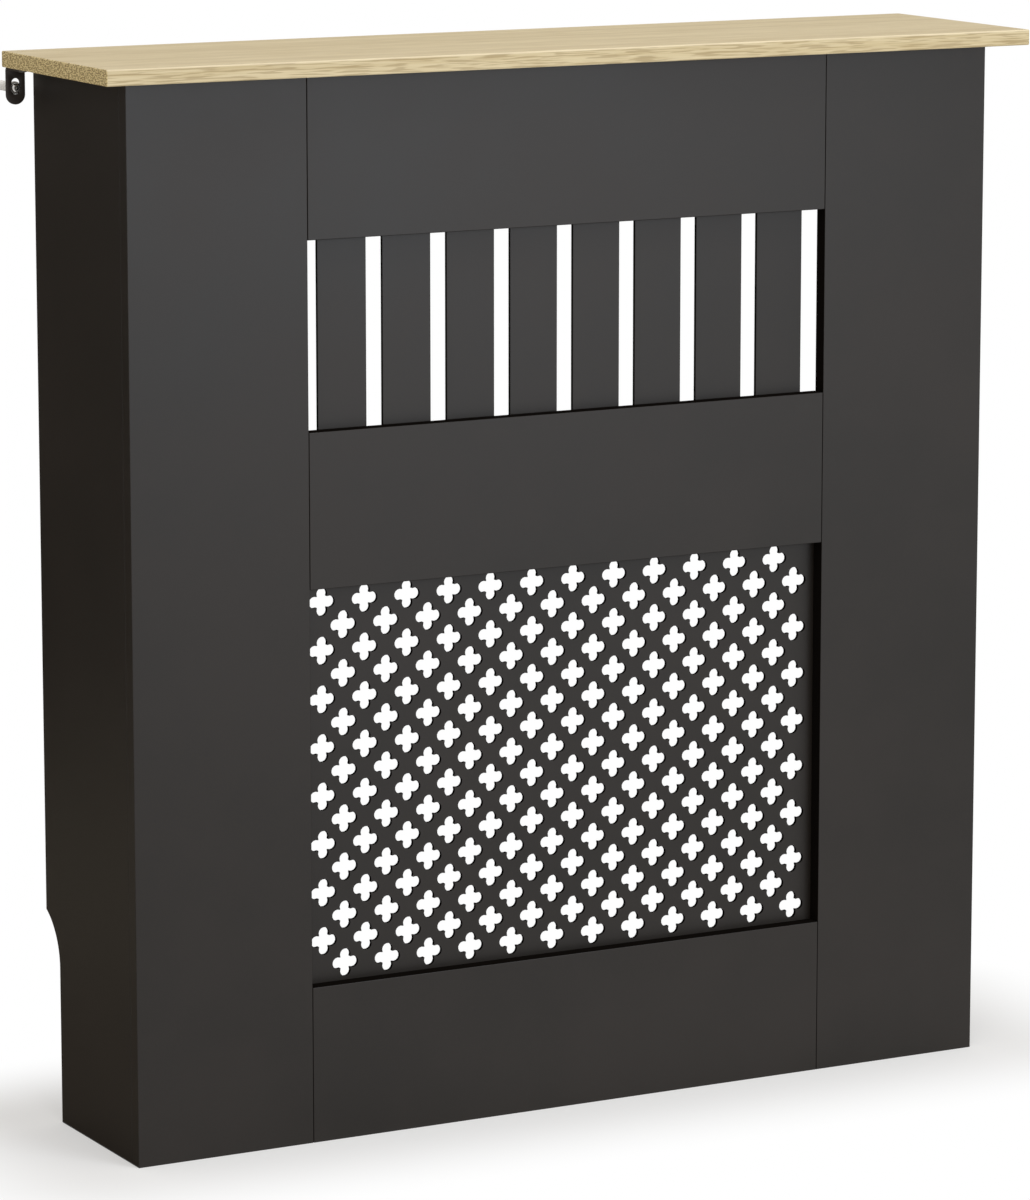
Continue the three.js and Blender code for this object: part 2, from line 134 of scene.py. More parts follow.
class Wiring:
    """The node tree of one material or world, which starts empty."""

    def __init__(self, tree: NodeTree) -> None:
        """Clears a tree, to be filled."""
        self.tree = tree
        tree.nodes.clear()

    def node(
        self,
        kind: str,
        settings: Mapping[str, object] | None = None,
        values: Mapping[str | int, object] | None = None,
    ) -> Node:
        """Adds one node.

        Args:
            kind: The node's type, without its ShaderNode prefix.
            settings: Its own settings, which are made first.
            values: What goes into its sockets: constants, sockets or Levels.

        Returns:
            The node.
        """
        made = self.tree.nodes.new(f"ShaderNode{kind}")
        for name, setting in (settings or {}).items():
            setattr(made, name, setting)
        for name, value in (values or {}).items():
            source = value.socket if isinstance(value, Level) else value
            if isinstance(source, NodeSocket):
                self.tree.links.new(source, made.inputs[name])
            else:
                made.inputs[name].default_value = source
        return made

    @cached_property
    def place(self) -> NodeSocket:
        """The Object coordinates, in metres."""
        return self.node("TexCoord").outputs["Object"]

    @cached_property
    def axes(self) -> tuple[Level, Level, Level]:
        """The three Object coordinates, each by itself."""
        parts = self.node("SeparateXYZ", None, {0: self.place})
        return tuple(Level(self, socket) for socket in parts.outputs)

    @cached_property
    def seen(self) -> Level:
        """Finds the rays that carry a picture.

        Returns:
            A mask that is 1 for what the camera sees directly, in a gloss or through something clear.
        """
        path = self.node("LightPath")
        camera, glossy, through = (
            Level(self, path.outputs[f"Is {kind} Ray"]) for kind in ("Camera", "Glossy", "Transmission")
        )
        return camera.greatest(glossy).greatest(through)

    def noise(
        self, cells: tuple[float, float, float], detail: float = 2.0, rough: float = 0.5, warp: float = 0.0
    ) -> Level:
        """Adds a cloud pattern.

        Args:
            cells: The size of a cell along X, Y and Z, in metres.
            detail: How many finer layers it has.
            rough: How strong they are.
            warp: How far it is bent out of shape.

        Returns:
            The pattern, from 0 to 1.
        """
        scaled = self.node("Mapping", None, {"Vector": self.place, "Scale": tuple(1 / cell for cell in cells)})
        values = {"Vector": scaled.outputs[0], "Scale": 1.0, "Detail": detail, "Roughness": rough, "Distortion": warp}
        return Level(self, self.node("TexNoise", None, values).outputs["Fac"])

    def between(self, share: Level, start: object, end: object) -> NodeSocket:
        """Mixes two colours, which are constants or sockets, with the share that the second one has."""
        # The node's inputs 6 and 7 and its output 2 are the colour ones.
        mixed = self.node("Mix", {"data_type": "RGBA"}, {0: share, 6: start, 7: end})
        return mixed.outputs[2]

    def blend(self, share: Level, first: NodeSocket, second: NodeSocket) -> NodeSocket:
        """Mixes two shaders, with the share that the second one has."""
        return self.node("MixShader", None, {0: share, 1: first, 2: second}).outputs[0]

    def bump(self, height: Level, depth: float) -> NodeSocket:
        """Turns a height pattern, from 0 to 1, into a normal for relief of a depth in metres."""
        relief = self.node("Bump", None, {"Strength": 1.0, "Distance": depth, "Height": height})
        return relief.outputs["Normal"]


@dataclass(frozen=True)
class Level:
    """A number that leaves a node's socket. Sums of such numbers add the Math nodes that they need."""

    wiring: Wiring
    socket: NodeSocket

    def _math(self, operation: str, *operands: Level | float) -> Level:
        """Adds one Math node and returns its result."""
        added = self.wiring.node("Math", {"operation": operation}, dict(enumerate(operands)))
        return Level(self.wiring, added.outputs[0])

    def __add__(self, other: Level | float) -> Level:
        """self + other."""
        return self._math("ADD", self, other)

    def __sub__(self, other: Level | float) -> Level:
        """self - other."""
        return self._math("SUBTRACT", self, other)

    def __mul__(self, other: Level | float) -> Level:
        """self * other."""
        return self._math("MULTIPLY", self, other)

    def __rsub__(self, other: float) -> Level:
        """other - self."""
        return self._math("SUBTRACT", other, self)

    __radd__, __rmul__ = __add__, __mul__

    def __abs__(self) -> Level:
        """The size of the number, without its sign."""
        return self._math("ABSOLUTE", self)

    def greatest(self, other: Level | float) -> Level:
        """The greater of two numbers."""
        return self._math("MAXIMUM", self, other)

    def power(self, exponent: float) -> Level:
        """The number to a power."""
        return self._math("POWER", self, exponent)

    def rise(self, start: float, end: float) -> Level:
        """Goes smoothly from 0 to 1 while the number goes from one value to another.

        Args:
            start: Where the result is 0.
            end: Where it is 1.

        Returns:
            The result.
        """
        settings = {"interpolation_type": "SMOOTHSTEP", "clamp": True}
        values = {"Value": self, "From Min": start, "From Max": end}
        return Level(self.wiring, self.wiring.node("MapRange", settings, values).outputs[0])

    def swing(self, size: float) -> Level:
        """Turns a noise into a small number to add, as often below 0 as above it."""
        return (self - NOISE_MIDDLE) * size


# ---- Finishes ----


@dataclass(frozen=True)
class Finish(ABC):
    """What a surface is made of and coated with."""

    slot: Slot
    roughness: float
    metallic: float = 0.0
    gloss: float = 0.5
    relief: float = 0.02 * MM

    @abstractmethod
    def surface(self, wiring: Wiring) -> dict[str, object]:
        """Draws what changes over the surface.

        Args:
            wiring: The material's nodes.

        Returns:
            What goes into the surface shader's sockets, by name.
        """

    def shader(self, wiring: Wiring) -> NodeSocket:
        """Adds the surface shader.

        Args:
            wiring: The material's nodes.

        Returns:
            The socket with the finished surface.
        """
        constants = {"Roughness": self.roughness, "Metallic": self.metallic, "Specular IOR Level": self.gloss}
        return wiring.node("BsdfPrincipled", None, constants | self.surface(wiring)).outputs[0]

    def material(self) -> Material:
        """Makes the Blender material, the first time that it is asked for.

        Returns:
            The material.
        """
        name = f"finish_{self.slot.value}"
        ready = bpy.data.materials.get(name)
        if ready:
            return ready
        made = bpy.data.materials.new(name)
        made.use_nodes = True
        wiring = Wiring(made.node_tree)
        wiring.node("OutputMaterial", None, {"Surface": self.shader(wiring)})
        return made


@dataclass(frozen=True)
class Clouded(Finish):
    """A coating whose tone and roughness change in faint clouds and in a very fine grain.

    Where a field is a pair, it is for the clouds and for the grain.
    """

    colour: Colour = WHITE
    cloudy: Colour = WHITE
    cells: Pair = (1.0, 1.0)
    details: Pair = (3.0, 2.0)
    roughening: Pair = (0.15, 0.1)
    cloud_layers: float = 0.5
    cloud_share: float = 1.0

    def surface(self, wiring: Wiring) -> dict[str, object]:
        """Draws the grain over the clouds.

        Args:
            wiring: The material's nodes.

        Returns:
            The colour, roughness and normal.
        """
        clouds = wiring.noise((self.cells[0],) * 3, detail=self.details[0], rough=self.cloud_layers)
        grain = wiring.noise((self.cells[1],) * 3, detail=self.details[1])
        tone = clouds * self.cloud_share + grain * (1.0 - self.cloud_share)
        by_cloud, by_grain = self.roughening
        return {
            "Base Color": wiring.between(tone.rise(*TWO_TONE), self.colour, self.cloudy),
            "Roughness": self.roughness + clouds.swing(by_cloud) + grain.swing(by_grain),
            "Normal": wiring.bump(grain, self.relief),
        }


@dataclass(frozen=True)
class CoatedBoard(Clouded):
    """Board with a satin black coating that has a very fine pearl grain."""

    colour: Colour = srgb(31, 27, 23)
    cloudy: Colour = srgb(37, 32, 28)
    cells: Pair = (140 * MM, 0.9 * MM)
    details: Pair = (4.0, 3.0)
    roughening: Pair = (0.12, 0.1)
    cloud_layers: float = 0.6
    cloud_share: float = 0.7


@dataclass(frozen=True)
class EdgeShadedBoard(CoatedBoard):
    """Board coated on both faces, with painted shade on its edges, which are dull and nearly black.

    Its faces are the front's and the back's Y. The painted shade covers the edges as far to each side of the middle as
    half_width, and the coating gives way to it between two depths below a face, the blend.
    """

    # Painted shade: the nearly black colour that stands in for the shade on the edges in the openings.
    cut: Colour = srgb(9, 8, 7)
    faces: Pair = (0.0, 0.0)
    half_width: float = 1.0
    blend: Pair = (0.05 * MM, 0.3 * MM)

    def shader(self, wiring: Wiring) -> NodeSocket:
        """Adds the coating for the two faces and a painted shade, dull and nearly black, for what lies between them.

        Args:
            wiring: The material's nodes.

        Returns:
            The socket with the finished surface.
        """
        across, depth, _ = wiring.axes
        front, back = self.faces
        start, end = self.blend
        behind = depth.rise(front + start, front + end)
        before = (-1.0 * depth).rise(start - back, end - back)
        # Painted shade: a mask for the edges between the faces, near the middle, where shade falls in the openings.
        edge = behind * before * (self.half_width - abs(across)).rise(0.0, end)
        dull = {"Base Color": self.cut, "Roughness": 1.0, "Specular IOR Level": 0.0}
        painted_shade = wiring.node("BsdfPrincipled", None, dull).outputs[0]
        return wiring.blend(edge, super().shader(wiring), painted_shade)


@dataclass(frozen=True)
class OakFoil(Finish):
    """Pale oak foil. Its figure is drawn out along X, so the ends of the board show it as specks.

    Each strip is a pair of distances inwards from the board's surface, between which the look of its edge sets in. Each
    edge is the pair of levels between which a noise turns into a pattern. Along the front top arris a paler colour is
    painted on as a highlight, where the rounded edge catches the light.
    """

    pale: Colour = srgb(213, 197, 159)
    dark: Colour = srgb(198, 180, 139)
    heart: Colour = srgb(232, 212, 154)
    pore: Colour = srgb(126, 100, 56)
    # A painted highlight: the paler colour laid along the front top arris, where a rounded edge catches the light.
    arris_highlight: Colour = srgb(236, 222, 190)
    board: tuple[Vector, Vector] = (Vector(), Vector())
    end_strip: Pair = (0.9 * MM, 0.4 * MM)
    front_strip: Pair = (1.3 * MM, 0.5 * MM)
    highlight_strip: Pair = (1.5 * MM, 0.5 * MM)
    heart_share: float = 0.8
    arris_highlight_share: float = 0.75
    figure_edge: Pair = (0.38, 0.62)
    pore_edge: Pair = (0.49, 0.58)
    speck_edge: Pair = (0.45, 0.56)
    top_pores: float = 0.12
    front_pores: float = 0.28
    end_specks: float = 0.74
    pore_depth: float = 0.7
    streak_height: float = 0.3
    roughening: float = 0.2
    relief: float = 0.03 * MM

    def surface(self, wiring: Wiring) -> dict[str, object]:
        """Draws growth bands, fine streaks and open pores, and a painted highlight along the front top arris.

        Args:
            wiring: The material's nodes.

        Returns:
            The colour, roughness and normal.
        """
        bands = wiring.noise((700 * MM, 16 * MM, 16 * MM), detail=3.0, rough=0.55, warp=0.5)
        streaks = wiring.noise((60 * MM, 1.9 * MM, 1.9 * MM), detail=2.0, rough=0.6)
        pores = wiring.noise((30 * MM, 1.25 * MM, 1.25 * MM), detail=1.0).rise(*self.pore_edge)
        specks = wiring.noise((30 * MM, 2.8 * MM, 1.0 * MM), detail=1.0).rise(*self.speck_edge)
        figure = (bands * 0.5 + streaks * 0.5).rise(*self.figure_edge)
        across, along, up = wiring.axes
        low, high = self.board
        end = abs(across).rise(*(high.x - inset for inset in self.end_strip))
        front = (-1.0 * along).rise(*(-low.y - inset for inset in self.front_strip))
        # Painted highlight: a mask along the front top arris, where the paler colour stands in for the light that the
        # rounded edge catches.
        arris = front * up.rise(*(high.z - inset for inset in self.highlight_strip))
        wood = wiring.between(end * self.heart_share, wiring.between(figure, self.pale, self.dark), self.heart)
        open_pores = pores * (self.top_pores + front * self.front_pores) * (1.0 - end)
        grained = wiring.between(open_pores + specks * end * self.end_specks, wood, self.pore)
        return {
            "Base Color": wiring.between(arris * self.arris_highlight_share, grained, self.arris_highlight),
            "Roughness": self.roughness + streaks.swing(self.roughening),
            "Normal": wiring.bump(1.0 - pores * self.pore_depth + streaks * self.streak_height, self.relief),
        }


@dataclass(frozen=True)
class BareMetal(Clouded):
    """Plated or blackened steel, faintly clouded by its plating."""

    metallic: float = 1.0
    colour: Colour = srgb(190, 192, 196)
    cloudy: Colour = srgb(170, 168, 160)
    cells: Pair = (2.5 * MM, 0.25 * MM)
    relief: float = 0.01 * MM


@dataclass(frozen=True)
class MouldedNylon(Finish):
    """Milky moulded nylon that a little light passes through."""

    colour: Colour = srgb(252, 252, 250)
    shade: Colour = srgb(246, 246, 243)
    flow: tuple[float, float, float] = (3 * MM, 3 * MM, 9 * MM)
    roughening: float = 0.1
    clearness: float = 0.1

    def surface(self, wiring: Wiring) -> dict[str, object]:
        """Draws faint flow clouds.

        Args:
            wiring: The material's nodes.

        Returns:
            The colour, roughness, normal and the share of light that passes through.
        """
        flow = wiring.noise(self.flow, detail=2.0)
        return {
            "Base Color": wiring.between(flow, self.colour, self.shade),
            "Roughness": self.roughness + flow.swing(self.roughening),
            "Normal": wiring.bump(flow, self.relief),
            "Transmission Weight": self.clearness,
        }


# ---- Shapes ----


def picked(items: Iterable[object], kind: type) -> list:
    """Those of an operator's results that are of one kind."""
    return [item for item in items if isinstance(item, kind)]


def basis(along_x: Vector, along_y: Vector, along_z: Vector, place: Vector) -> Matrix:
    """The transform that carries a shape's own axes to three directions and its origin to a place."""
    turn = Matrix((along_x, along_y, along_z)).transposed()
    return Matrix.Translation(place) @ turn.to_4x4()


def facing(place: Vector, direction: Vector, axis: str = "Z") -> Matrix:
    """The transform that carries a shape's origin to a place and one of its axes to a direction."""
    return Matrix.Translation(place) @ direction.to_track_quat(axis, "Y").to_matrix().to_4x4()


def round_edges(shape: BMesh, radius: float, segments: int) -> None:
    """Rounds the edges at which a shape turns by more than SHARP.

    Args:
        shape: The shape.
        radius: The radius of the rounding.
        segments: How many facets it has.
    """
    limit = math.radians(SHARP)
    sharp = [edge for edge in shape.edges if edge.is_manifold and edge.calc_face_angle() > limit]
    shared = {"offset_type": "OFFSET", "profile": 0.5, "affect": "EDGES", "material": -1}
    bmesh.ops.bevel(shape, geom=sharp, offset=radius, segments=segments, **shared)


def fill(shape: BMesh, edges: Iterable[BMEdge]) -> None:
    """Fills closed lines in a level plane, and leaves those inside others open."""
    bmesh.ops.triangle_fill(shape, use_beauty=True, use_dissolve=False, edges=edges, normal=Z)


def weld(shape: BMesh) -> None:
    """Joins the points of a shape that lie on each other, and turns its faces outwards."""
    bmesh.ops.remove_doubles(shape, verts=shape.verts, dist=WELD)
    bmesh.ops.recalc_face_normals(shape, faces=shape.faces)


class Wire:
    """A flat line in the XY plane, drawn with straight runs and arcs."""

    def __init__(self, shape: BMesh, x: float, y: float) -> None:
        """Starts the line at its first point."""
        self.shape = shape
        self.end = shape.verts.new((x, y, 0.0))

    def run(self, *points: Pair) -> Wire:
        """Draws straight runs.

        Args:
            *points: The X and Y of each point.

        Returns:
            The line itself.
        """
        for x, y in points:
            [following] = bmesh.ops.extrude_vert_indiv(self.shape, verts=[self.end])["verts"]
            following.co = (x, y, 0.0)
            self.end = following
        return self

    def arc(self, x: float, y: float, turn: float, steps: int) -> Wire:
        """Draws an arc.

        Args:
            x: The X of its middle.
            y: The Y of its middle.
            turn: How far it turns, in degrees, anticlockwise.
            steps: How many straight pieces it has.

        Returns:
            The line itself.
        """
        swept = bmesh.ops.spin(
            self.shape, geom=[self.end], cent=(x, y, 0.0), axis=Z, angle=math.radians(turn), steps=steps
        )
        [self.end] = picked(swept["geom_last"], BMVert)
        return self


def plate(shape: BMesh, thickness: float) -> BMesh:
    """Fills closed lines in the XY plane, with the lines inside others as holes, and thickens the sheet upwards.

    Args:
        shape: The shape that holds the lines.
        thickness: The thickness of the sheet.

    Returns:
        The same shape.
    """
    bmesh.ops.remove_doubles(shape, verts=shape.verts, dist=WELD)
    fill(shape, shape.edges)
    raised = bmesh.ops.extrude_face_region(shape, geom=shape.faces, use_keep_orig=True)["geom"]
    bmesh.ops.translate(shape, verts=picked(raised, BMVert), vec=Z * thickness)
    weld(shape)
    return shape


def lathe(profile: Sequence[Pair], steps: int) -> BMesh:
    """Turns a profile round Z.

    Args:
        profile: Pairs of radius and height.
        steps: How many facets a full turn has.

    Returns:
        The shape, closed where the profile starts and ends on the axis.
    """
    shape = bmesh.new()
    verts = [shape.verts.new((radius, 0.0, height)) for radius, height in profile]
    edges = [shape.edges.new(pair) for pair in zip(verts, verts[1:])]
    bmesh.ops.spin(shape, geom=verts + edges, cent=Vector(), axis=Z, angle=math.tau, steps=steps, use_merge=True)
    weld(shape)
    return shape


def linked(name: str, data: bpy.types.ID) -> Object:
    """Makes an object and puts it in the scene.

    Args:
        name: Its name.
        data: Its mesh, lamp or camera.

    Returns:
        The object.
    """
    made = bpy.data.objects.new(name, data)
    bpy.context.scene.collection.objects.link(made)
    return made


@dataclass
class Piece:
    """One finished piece that stands for a CAD node."""

    name: str
    node: str
    shape: BMesh
    finish: Finish
    place: Matrix = Matrix()
    smooth: float = 0.0

    def finished(self) -> Object:
        """Makes the object, its place in its mesh, and fixes it to the cabinet.

        Returns:
            The object.
        """
        bmesh.ops.transform(self.shape, matrix=self.place, verts=self.shape.verts)
        if self.place.determinant() < 0:
            bmesh.ops.reverse_faces(self.shape, faces=self.shape.faces)
        mesh = bpy.data.meshes.new(self.name)
        self.shape.to_mesh(mesh)
        self.shape.free()
        if self.smooth:
            mesh.shade_smooth()
            mesh.set_sharp_from_angle(angle=math.radians(self.smooth))
        mesh.materials.append(self.finish.material())
        made = linked(self.name, mesh)
        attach(made, "root")
        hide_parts(self.node)
        LOG.info("%s stands for %s with %d faces", self.name, self.node, len(mesh.polygons))
        return made


class SubAssembly(ABC):
    """A group of pieces that belong together."""

    @abstractmethod
    def pieces(self) -> Iterable[Piece]:
        """The pieces, each ready to be finished."""

    def build(self) -> None:
        """Makes every piece and reports the group."""
        made = [piece.finished() for piece in self.pieces()]
        LOG.info("%s: %d pieces", type(self).__name__, len(made))


# ---- Boards ----


def plain_board(name: str, node: str, finish: Finish, arris: float, facets: int) -> Piece:
    """Makes a board that fills the box of its CAD node, with rounded edges.

    Args:
        name: The piece's name.
        node: The CAD node that it stands for.
        finish: Its finish.
        arris: The radius of its edges.
        facets: How many facets an edge has.

    Returns:
        The piece.
    """
    low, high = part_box(node)
    place = Matrix.Translation((low + high) / 2) @ Matrix.Diagonal((*(high - low), 1.0))
    shape = bmesh.new()
    bmesh.ops.create_cube(shape, size=1.0, matrix=place)
    round_edges(shape, arris, facets)
    return Piece(name, node, shape, finish)


@dataclass
class Shelf(SubAssembly):
    """The oak-faced board on top."""

    arris: float = 1.0 * MM
    arris_facets: int = 5

    def pieces(self) -> Iterable[Piece]:
        """The board, its edges rounded."""
        finish = OakFoil(Slot.OAK_BOARD, roughness=0.55, gloss=0.25, board=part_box("top_board"))
        yield plain_board("oak_shelf", "top_board", finish, self.arris, self.arris_facets)


@dataclass
class Carcass(SubAssembly):
    """The side panels, stiles, rails and battens, all of coated board."""

    finish: Finish
    arris: float = 0.45 * MM
    arris_facets: int = 3
    skirting_depth: float = 24.5 * MM
    skirting_height: float = 121 * MM
    skirting_radius: float = 46.5 * MM
    skirting_facets: int = 14

    def pieces(self) -> Iterable[Piece]:
        """Makes the boards of the cabinet under its shelf.

        Returns:
            The pieces.
        """
        look = self.finish, self.arris, self.arris_facets
        for side in Side:
            yield self._side_panel(side)
            yield plain_board(f"stile_{side.label}", f"front_stile_{side.label}", *look)
        for level in ("top", "middle", "bottom"):
            yield plain_board(f"crossboard_{level}", f"{level}_rail", *look)
        for level in ("upper", "middle", "lower"):
            yield plain_board(f"back_batten_{level}", f"{level}_batten", *look)

    def _side_panel(self, side: Side) -> Piece:
        """A side panel, cut away at its foot for the skirting board.

        Args:
            side: The end of the cabinet.

        Returns:
            The piece.
        """
        node = f"side_panel_{side.label}"
        low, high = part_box(node)
        depth, height = high.y - low.y, high.z - low.z
        turn = math.degrees(math.acos(1 - self.skirting_depth / self.skirting_radius))
        foot = depth - self.skirting_depth
        shape = bmesh.new()
        wire = Wire(shape, 0.0, 0.0).run((foot, 0.0), (foot, self.skirting_height))
        wire.arc(foot + self.skirting_radius, self.skirting_height, -turn, self.skirting_facets)
        wire.run((depth, height), (0.0, height), (0.0, 0.0))
        plate(shape, high.x - low.x)
        round_edges(shape, self.arris, self.arris_facets)
        return Piece(f"side_{side.label}", node, shape, self.finish, basis(Y, Z, X, low))


@dataclass
class VentSlats(SubAssembly):
    """The upright slats behind the upper opening."""

    finish: Finish
    count: int = 8
    arris: float = 0.25 * MM
    arris_facets: int = 2

    def pieces(self) -> Iterable[Piece]:
        """The slats, from left to right."""
        for number in range(1, self.count + 1):
            yield plain_board(f"slat_{number}", f"vent_slat_{number}", self.finish, self.arris, self.arris_facets)


@dataclass
class PiercedSheet(SubAssembly):
    """The thin sheet behind the lower opening, pierced with staggered columns of quatrefoils."""

    finish: Finish
    columns: int = 24
    rows: int = 8
    column_pitch: float = 17.77 * MM
    row_pitch: float = 36.96 * MM
    off_centre: Pair = (-1.0 * MM, 0.6 * MM)
    reach: float = 10.72 * MM
    lobe_radius: float = 4.42 * MM
    neck: float = 4.1 * MM
    lobe_facets: int = 9

    def pieces(self) -> Iterable[Piece]:
        """Makes the sheet, its lattice about the middle of the opening.

        Returns:
            The sheet, as the only piece.
        """
        low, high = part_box("grille_sheet")
        middle = (low + high) / 2
        shape = self._quatrefoil()
        outline = [*shape.verts, *shape.edges]
        for spot in self._spots():
            copy = bmesh.ops.duplicate(shape, geom=outline)["geom"]
            bmesh.ops.translate(shape, verts=picked(copy, BMVert), vec=spot)
        bmesh.ops.delete(shape, geom=picked(outline, BMVert), context="VERTS")
        half_width, half_height = (high.x - low.x) / 2, (high.z - low.z) / 2
        corners = [(x * half_width, z * half_height) for x, z in ((1, -1), (1, 1), (-1, 1), (-1, -1))]
        Wire(shape, *corners[-1]).run(*corners)
        plate(shape, high.y - low.y)
        place = basis(X, Z, -Y, Vector((middle.x, high.y, middle.z)))
        yield Piece("quatrefoil_sheet", "grille_sheet", shape, self.finish, place)

    def _spots(self) -> Iterable[Vector]:
        """Finds the middles of the holes. The columns stand a quarter of a row's pitch up and down by turns.

        Returns:
            The middles, from the middle of the sheet.
        """
        right, up = self.off_centre
        for column in range(self.columns):
            stagger = self.row_pitch / 4 * (-1) ** column
            for row in range(self.rows):
                x = (column - (self.columns - 1) / 2) * self.column_pitch + right
                z = (row - (self.rows - 1) / 2) * self.row_pitch + stagger + up
                yield Vector((x, z, 0.0))

    def _quatrefoil(self) -> BMesh:
        """Draws one hole's outline round the origin: four round lobes, with a corner between two.

        Returns:
            The outline.
        """
        shape = bmesh.new()
        middle = self.reach - self.lobe_radius
        flank = math.asin(self.neck / self.lobe_radius)
        inner = middle - self.lobe_radius * math.cos(flank)
        wire = Wire(shape, self.neck, -self.neck)
        points = (inner, -self.neck), (middle, 0.0), (self.neck, self.neck)
        for turn in QUARTER_TURNS:
            start, centre, end = (tuple(turn @ Vector(point)) for point in points)
            wire.run(start).arc(*centre, 360.0 - 2 * math.degrees(flank), self.lobe_facets).run(end)
        bmesh.ops.remove_doubles(shape, verts=shape.verts, dist=WELD)
        return shape


# ---- Fixings ----


@dataclass(frozen=True)
class PanScrew:
    """A pan-head screw with a cross recess. Its Z points out of the head and its origin is under the head.

    A share is a part of the head's radius or height, or of the shank's radius for the thread's root. The thread ends
    thread_end pitches below the head, and the plain shank starts run_out pitches below it.
    """

    head_radius: float = 3.5 * MM
    head_height: float = 2.0 * MM
    shank_radius: float = 1.75 * MM
    length: float = 10.5 * MM
    point: float = 2.5 * MM
    pitch: float = 1.4 * MM
    root_share: float = 0.72
    thread_end: float = 1.5
    run_out: float = 0.4
    rim_chamfer: float = 0.1 * MM
    rim_share: float = 0.2
    crown_share: float = 0.6
    arm_share: float = 0.48
    half_width_share: float = 0.13
    floor_share: float = 0.45
    depth_share: float = 0.7
    facets: int = 24
    dome_facets: int = 5

    def shape(self) -> BMesh:
        """Makes the screw: a turned shank and domed head, and a recess in its crown.

        Returns:
            The shape.
        """
        crown, rim = self.crown_share * self.head_radius, self.rim_share * self.head_height
        wide, tall = self.head_radius - crown, self.head_height - rim
        dome = [math.radians(90 * n / self.dome_facets) for n in range(self.dome_facets + 1)]
        profile = [
            (0.0, -self.length),
            *self._thread(),
            (self.shank_radius, -self.run_out * self.pitch),
            (self.shank_radius, 0.0),
            (self.head_radius - self.rim_chamfer, 0.0),
            *((crown + wide * math.cos(angle), rim + tall * math.sin(angle)) for angle in dome),
        ]
        shape = lathe(profile, self.facets)
        self._sink_recess(shape)
        return shape

    def _thread(self) -> Iterable[Pair]:
        """Draws the thread's roots and crests, from the tip up.

        Returns:
            Pairs of radius and height.
        """
        root = self.root_share * self.shank_radius
        height = self.point - self.length
        yield root, height
        while height < -self.thread_end * self.pitch:
            yield self.shank_radius, height + self.pitch / 2
            yield root, height + self.pitch
            height += self.pitch

    def _sink_recess(self, shape: BMesh) -> None:
        """Closes the open crown with a tapered cross recess.

        Args:
            shape: The turned screw.
        """
        ring = [edge for edge in shape.edges if edge.is_boundary]
        arm, half = self.arm_share * self.head_radius, self.half_width_share * self.head_radius
        corner = (arm, half), (half, half), (half, arm)
        points = [tuple(turn @ Vector(point)) for turn in QUARTER_TURNS for point in corner]
        old = set(shape.edges)
        Wire(shape, *points[-1]).run(*points)
        cross = [edge for edge in shape.edges if edge not in old]
        verts = list({vert for edge in cross for vert in edge.verts})
        bmesh.ops.translate(shape, verts=verts, vec=Z * self.head_height)
        bmesh.ops.remove_doubles(shape, verts=verts, dist=WELD)
        cross = [edge for edge in shape.edges if edge.is_valid and edge.is_wire]
        fill(shape, ring + cross)
        sunk = bmesh.ops.extrude_edge_only(shape, edges=cross)["geom"]
        floor = picked(sunk, BMVert)
        bmesh.ops.scale(shape, vec=(self.floor_share, self.floor_share, 1.0), verts=floor)
        bmesh.ops.translate(shape, verts=floor, vec=-Z * self.depth_share * self.head_height)
        fill(shape, picked(sunk, BMEdge))
        bmesh.ops.recalc_face_normals(shape, faces=shape.faces)

    def driven(self, name: str, node: str, outward: Vector, finish: Finish) -> Piece:
        """The screw in the place of its CAD node.

        Args:
            name: The piece's name.
            node: The CAD node.
            outward: The direction in which its head points.
            finish: Its finish.

        Returns:
            The piece.
        """
        low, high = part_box(node)
        extent = abs((high - low).dot(outward))
        seat = (low + high) / 2 + outward * (self.length - extent / 2)
        return Piece(name, node, self.shape(), finish, facing(seat, outward), smooth=ROUND)


